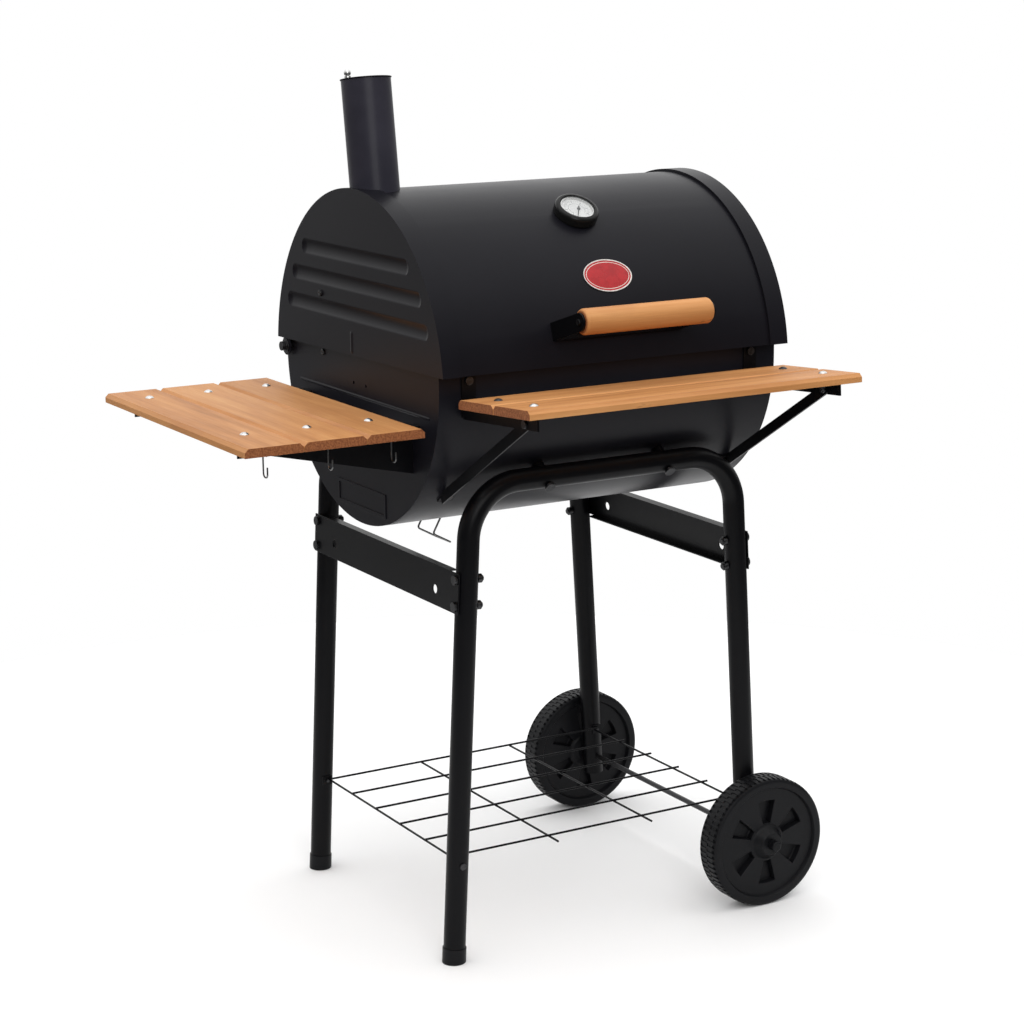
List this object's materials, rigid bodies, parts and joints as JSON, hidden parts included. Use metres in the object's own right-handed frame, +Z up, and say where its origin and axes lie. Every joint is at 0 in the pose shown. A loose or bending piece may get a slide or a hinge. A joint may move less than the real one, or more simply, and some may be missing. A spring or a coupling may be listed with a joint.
{
  "type": "barrel charcoal grill",
  "caption": "Barrel charcoal grill on a tubular wheeled stand with hinged lid, smokestack, wooden side and front shelves, swinging warming rack and wire bottom rack.",
  "frame": {"origin": "centre of the bounding box, on the floor", "axes": "+X along the barrel towards the wheel side, -Y the front with the handle and front shelf, +Z up"},
  "size_m": [0.9212, 0.7628, 1.2473],
  "materials": {
    "barrel_black": "satin heat-resistant black paint",
    "frame_black": "satin black powder coat",
    "zinc": "zinc plated",
    "black_bolts": "blackened steel",
    "wood": "oiled golden brown wood",
    "wheel_plastic": "moulded black plastic",
    "thermometer_black": "semi-gloss black",
    "dial_face": "pale printed dial",
    "needle_black": "matt black",
    "lens_glass": "clear",
    "badge_red": "red enamel",
    "cast_iron": "seasoned cast iron",
    "grate_steel": "plain steel wire"
  },
  "bodies": {
    "stand": {"axle": "black_bolts", "axle_caps": "wheel_plastic", "back_leg_frame": "frame_black", "barrel_bolts": "black_bolts", "barrel_spacers": "frame_black", "body_end_left": "barrel_black", "body_end_right": "barrel_black", "body_shell": "barrel_black", "bottom_rack": "frame_black", "brace_left": "frame_black", "brace_right": "frame_black", "foot_caps": "wheel_plastic", "frame_bolts": "black_bolts", "front_arms": "frame_black", "front_board_1": "wood", "front_board_2": "wood", "front_bolts": "zinc", "front_leg_frame": "frame_black", "front_struts": "frame_black", "grate_supports": "frame_black", "hinge_bolts": "black_bolts", "leg_back_left": "frame_black", "leg_back_right": "frame_black", "leg_front_left": "frame_black", "leg_front_right": "frame_black", "rack_screws": "black_bolts", "side_board_1": "wood", "side_board_2": "wood", "side_board_3": "wood", "side_bolts": "zinc", "side_bracket_back": "frame_black", "side_bracket_front": "frame_black"},
    "lid": {"lid_sheet": "barrel_black", "lid_end_left": "barrel_black", "lid_end_right": "barrel_black", "handle_bracket": "frame_black", "handle_grip": "wood", "handle_screws": "zinc", "thermometer_case": "thermometer_black", "thermometer_dial": "dial_face", "thermometer_lens": "lens_glass", "badge": "badge_red", "smokestack": "barrel_black", "damper_bolt": "zinc"},
    "stack_damper": {"stack_damper": "barrel_black"},
    "needle": {"thermometer_needle": "needle_black"},
    "air_shutter": {"air_shutter": "barrel_black"},
    "wheel_front": {"wheel_front": "wheel_plastic"},
    "wheel_back": {"wheel_back": "wheel_plastic"},
    "grate_left": {"cooking_grate_left": "cast_iron"},
    "grate_right": {"cooking_grate_right": "cast_iron"},
    "charcoal_grate": {"charcoal_grate": "grate_steel"},
    "warming_rack": {"warming_rack": "grate_steel"},
    "rack_legs": {"warming_rack_legs": "grate_steel"},
    "hook_1": {"hook_1": "zinc"},
    "hook_2": {"hook_2": "zinc"},
    "hook_3": {"hook_3": "zinc"},
    "drip_wire": {"drip_wire": "zinc"}
  },
  "joints": [
    {"name": "lid_hinge", "type": "hinge", "parent": "stand", "child": "lid", "pos_m": [0.11085, 0.30907, 0.833], "axis": [-1, 0, 0], "range_deg": [0, 85]},
    {"name": "damper_swivel", "type": "hinge", "parent": "lid", "child": "stack_damper", "pos_m": [-0.1548, 0.1129, 1.23174], "axis": [0, 0.1357, 0.9907], "range_deg": [0, 150]},
    {"name": "needle_turn", "type": "hinge", "parent": "lid", "child": "needle", "pos_m": [0.11485, -0.06468, 1.05124], "axis": [0, -0.524, 0.8517], "range_deg": [-60, 200], "stiffness_Nm_per_rad": 0.0005},
    {"name": "shutter_turn", "type": "hinge", "parent": "stand", "child": "air_shutter", "pos_m": [0.38745, 0.07907, 0.735], "axis": [1, 0, 0], "range_deg": [-30, 30]},
    {"name": "wheel_front_spin", "type": "hinge", "parent": "stand", "child": "wheel_front", "pos_m": [0.36165, 0.07907, 0.099], "axis": [0, 1, 0], "continuous": true},
    {"name": "wheel_back_spin", "type": "hinge", "parent": "stand", "child": "wheel_back", "pos_m": [0.36165, 0.07907, 0.099], "axis": [0, 1, 0], "continuous": true},
    {"name": "grate_left_lift", "type": "slide", "parent": "stand", "child": "grate_left", "axis": [0, 0, 1], "range_m": [0, 0.08]},
    {"name": "grate_right_lift", "type": "slide", "parent": "stand", "child": "grate_right", "axis": [0, 0, 1], "range_m": [0, 0.08]},
    {"name": "charcoal_lift", "type": "slide", "parent": "stand", "child": "charcoal_grate", "axis": [0, 0, 1], "range_m": [0, 0.06]},
    {"name": "rack_level", "type": "hinge", "parent": "lid", "child": "warming_rack", "pos_m": [0.11085, 0.13907, 0.96], "axis": [-1, 0, 0], "range_deg": [-85, 0]},
    {"name": "rack_legs_turn", "type": "hinge", "parent": "stand", "child": "rack_legs", "pos_m": [0.11085, 0.15907, 0.833], "axis": [-1, 0, 0], "range_deg": [0, 85]},
    {"name": "hook_1_swing", "type": "hinge", "parent": "stand", "child": "hook_1", "pos_m": [-0.39715, -0.10238, 0.7641], "axis": [1, 0, 0], "range_deg": [-15, 15]},
    {"name": "hook_2_swing", "type": "hinge", "parent": "stand", "child": "hook_2", "pos_m": [-0.30165, -0.10238, 0.7641], "axis": [1, 0, 0], "range_deg": [-15, 15]},
    {"name": "hook_3_swing", "type": "hinge", "parent": "stand", "child": "hook_3", "pos_m": [-0.20615, -0.10238, 0.7641], "axis": [1, 0, 0], "range_deg": [-15, 15]},
    {"name": "drip_wire_swing", "type": "hinge", "parent": "stand", "child": "drip_wire", "pos_m": [-0.04715, 0.07907, 0.6084], "axis": [0, 1, 0], "range_deg": [-15, 15]}
  ],
  "couplings": [
    {"joint": "rack_level", "follows": "lid_hinge", "ratio": -1},
    {"joint": "rack_legs_turn", "follows": "lid_hinge", "ratio": 1}
  ]
}
